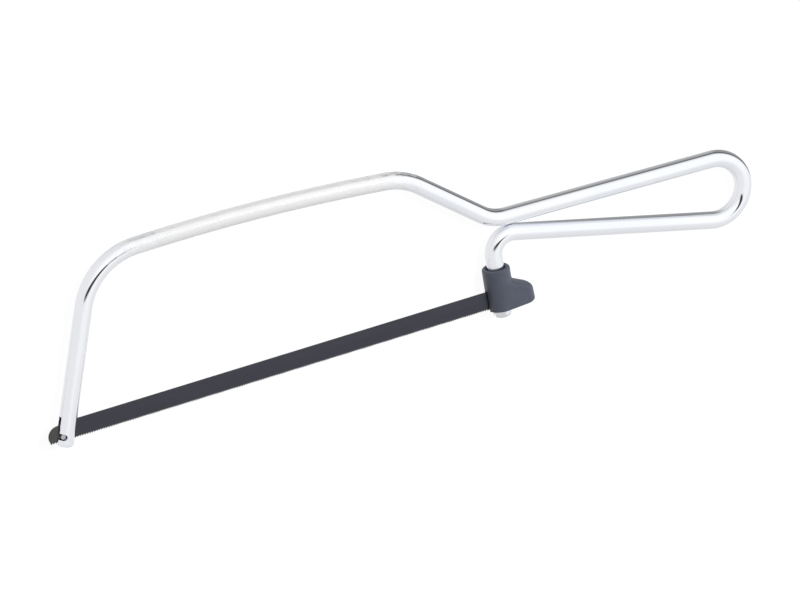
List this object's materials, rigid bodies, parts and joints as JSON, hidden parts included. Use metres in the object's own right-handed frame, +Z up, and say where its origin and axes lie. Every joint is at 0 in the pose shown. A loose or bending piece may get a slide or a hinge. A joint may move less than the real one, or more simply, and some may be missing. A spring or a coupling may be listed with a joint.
{
  "type": "mini hacksaw",
  "caption": "Junior hacksaw with a springy frame bent from one plated rod into bow and loop handle, a thin pin-ended blade and a sliding sleeve that locks the blade's rear end.",
  "frame": {"origin": "under the middle of the saw's outline, on the surface that it lies on", "axes": "+X along the blade from the nose to the handle, +Y from the teeth to the bow, +Z up, across the saw as it lies on its side"},
  "size_m": [0.2436, 0.0612, 0.0089],
  "materials": {
    "plated_steel": "bright zinc plating",
    "blade_steel": "dark blue-grey satin",
    "pin_steel": "bare satin steel",
    "slate_plastic": "satin moulded, slate grey"
  },
  "bodies": {
    "saw": {"frame": "plated_steel", "saw_blade": "blade_steel", "front_blade_pin": "pin_steel", "rear_blade_pin": "pin_steel"},
    "sleeve": {"blade_lock_sleeve": "slate_plastic"}
  },
  "joints": [
    {"name": "sleeve_slide", "type": "slide", "parent": "saw", "child": "sleeve", "axis": [0, 1, 0], "range_m": [0, 0.004]}
  ]
}
